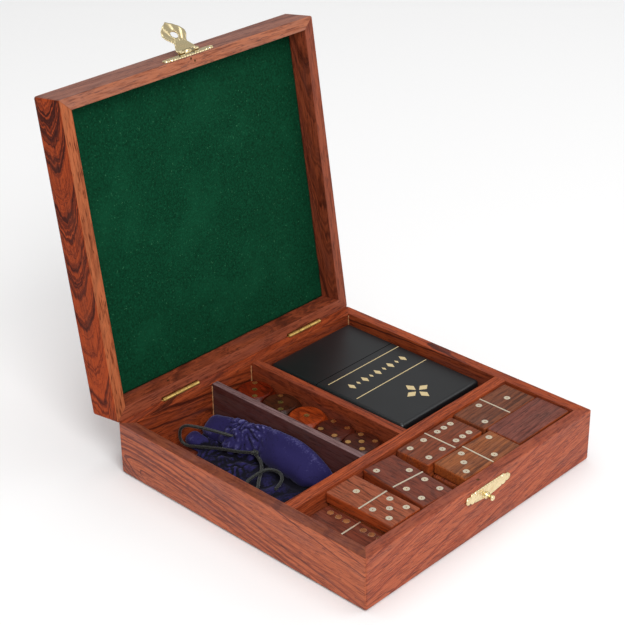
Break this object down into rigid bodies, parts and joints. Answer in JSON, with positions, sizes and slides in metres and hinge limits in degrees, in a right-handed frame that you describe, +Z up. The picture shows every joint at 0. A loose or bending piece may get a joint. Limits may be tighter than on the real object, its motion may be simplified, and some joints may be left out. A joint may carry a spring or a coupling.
{
  "type": "games box",
  "caption": "Hardwood games box with a hinged felt-lined lid and brass hasp, open on bays of inlaid dominoes, dice, a card case and a drawstring pouch.",
  "frame": {"origin": "centre of the flat underside of the base", "axes": "+X to the right along the front, +Y from the front to the hinges, +Z up"},
  "size_m": [0.168, 0.2148, 0.205],
  "materials": {
    "rosewood": "oiled reddish brown hardwood",
    "divider_ply": "thin greyish mauve board",
    "brass_fitting": "stamped bright brass",
    "brad_brass": "tarnished",
    "green_felt": "napped",
    "case_plastic": "satin black",
    "card_stock": "coated card edges",
    "pouch_velvet": "velvet",
    "satin_cord": "satin",
    "domino_wood": "polished hardwood",
    "inlay_brass": "polished",
    "die_orange_wood": "polished orange hardwood",
    "die_dark_wood": "polished dark hardwood"
  },
  "bodies": {
    "base": {"base_front_wall": "rosewood", "base_back_wall": "rosewood", "base_left_wall": "rosewood", "base_right_wall": "rosewood", "base_bottom_panel": "rosewood", "trough_divider": "rosewood", "dice_divider": "divider_ply", "card_divider": "rosewood", "left_hinge_base_leaf": "brass_fitting", "right_hinge_base_leaf": "brass_fitting", "hinge_pins": "brass_fitting", "catch_plate": "brass_fitting", "catch_stud": "brass_fitting", "base_brads": "brad_brass"},
    "lid": {"lid_front_wall": "rosewood", "lid_back_wall": "rosewood", "lid_left_wall": "rosewood", "lid_right_wall": "rosewood", "lid_top_panel": "rosewood", "lid_felt": "green_felt", "lid_brads": "brad_brass", "left_hinge_lid_leaf": "brass_fitting", "right_hinge_lid_leaf": "brass_fitting", "hasp_plate": "brass_fitting", "hasp_pin": "brass_fitting"},
    "hasp": {"hasp_flap": "brass_fitting"},
    "card_case": {"card_case_body": "case_plastic", "card_case_lid": "case_plastic", "card_deck": "card_stock"},
    "pouch": {"pouch": "pouch_velvet", "drawstring_loop": "satin_cord", "drawstring_tail": "satin_cord", "drawstring_knot": "satin_cord"},
    "lower_tiles": {"bottom_tiles": "domino_wood", "second_tiles": "domino_wood", "third_tiles": "domino_wood"},
    "die_1": {"die_1": "die_orange_wood", "die_1_pips": "inlay_brass"},
    "die_2": {"die_2": "die_dark_wood", "die_2_pips": "inlay_brass"},
    "die_3": {"die_3": "die_orange_wood", "die_3_pips": "inlay_brass"},
    "die_4": {"die_4": "die_dark_wood", "die_4_pips": "inlay_brass"},
    "die_5": {"die_5": "die_dark_wood", "die_5_pips": "inlay_brass"},
    "tile_1": {"tile_1": "domino_wood", "tile_1_inlays": "inlay_brass"},
    "tile_2": {"tile_2": "domino_wood", "tile_2_inlays": "inlay_brass"},
    "tile_3": {"tile_3": "domino_wood", "tile_3_inlays": "inlay_brass"},
    "tile_4": {"tile_4": "domino_wood", "tile_4_inlays": "inlay_brass"},
    "tile_5": {"tile_5": "domino_wood", "tile_5_inlays": "inlay_brass"},
    "tile_6": {"tile_6": "domino_wood", "tile_6_inlays": "inlay_brass"},
    "tile_7": {"tile_7": "domino_wood"}
  },
  "joints": [
    {"name": "lid_hinge", "type": "hinge", "parent": "base", "child": "lid", "pos_m": [0, 0.08265, 0.0288], "axis": [1, 0, 0], "range_deg": [0, 98.5]},
    {"name": "hasp_hinge", "type": "hinge", "parent": "lid", "child": "hasp", "pos_m": [0, 0.11026, 0.19393], "axis": [1, 0, 0], "range_deg": [0, 137]},
    {"name": "card_case_lift", "type": "slide", "parent": "base", "child": "card_case", "axis": [0, 0, 1], "range_m": [0, 0.06]},
    {"name": "pouch_lift", "type": "slide", "parent": "base", "child": "pouch", "axis": [0, 0, 1], "range_m": [0, 0.06]},
    {"name": "die_1_lift", "type": "slide", "parent": "base", "child": "die_1", "axis": [0, 0, 1], "range_m": [0, 0.06]},
    {"name": "die_2_lift", "type": "slide", "parent": "base", "child": "die_2", "axis": [0, 0, 1], "range_m": [0, 0.06]},
    {"name": "die_3_lift", "type": "slide", "parent": "base", "child": "die_3", "axis": [0, 0, 1], "range_m": [0, 0.06]},
    {"name": "die_4_lift", "type": "slide", "parent": "base", "child": "die_4", "axis": [0, 0, 1], "range_m": [0, 0.06]},
    {"name": "die_5_lift", "type": "slide", "parent": "base", "child": "die_5", "axis": [0, 0, 1], "range_m": [0, 0.06]},
    {"name": "lower_tiles_lift", "type": "slide", "parent": "base", "child": "lower_tiles", "axis": [0, 0, 1], "range_m": [0, 0.06]},
    {"name": "tile_1_lift", "type": "slide", "parent": "lower_tiles", "child": "tile_1", "axis": [0, 0, 1], "range_m": [0, 0.035]},
    {"name": "tile_2_lift", "type": "slide", "parent": "lower_tiles", "child": "tile_2", "axis": [0, 0, 1], "range_m": [0, 0.035]},
    {"name": "tile_3_lift", "type": "slide", "parent": "lower_tiles", "child": "tile_3", "axis": [0, 0, 1], "range_m": [0, 0.035]},
    {"name": "tile_4_lift", "type": "slide", "parent": "lower_tiles", "child": "tile_4", "axis": [0, 0, 1], "range_m": [0, 0.035]},
    {"name": "tile_5_lift", "type": "slide", "parent": "lower_tiles", "child": "tile_5", "axis": [0, 0, 1], "range_m": [0, 0.035]},
    {"name": "tile_6_lift", "type": "slide", "parent": "lower_tiles", "child": "tile_6", "axis": [0, 0, 1], "range_m": [0, 0.035]},
    {"name": "tile_7_lift", "type": "slide", "parent": "lower_tiles", "child": "tile_7", "axis": [0, 0, 1], "range_m": [0, 0.035]}
  ]
}
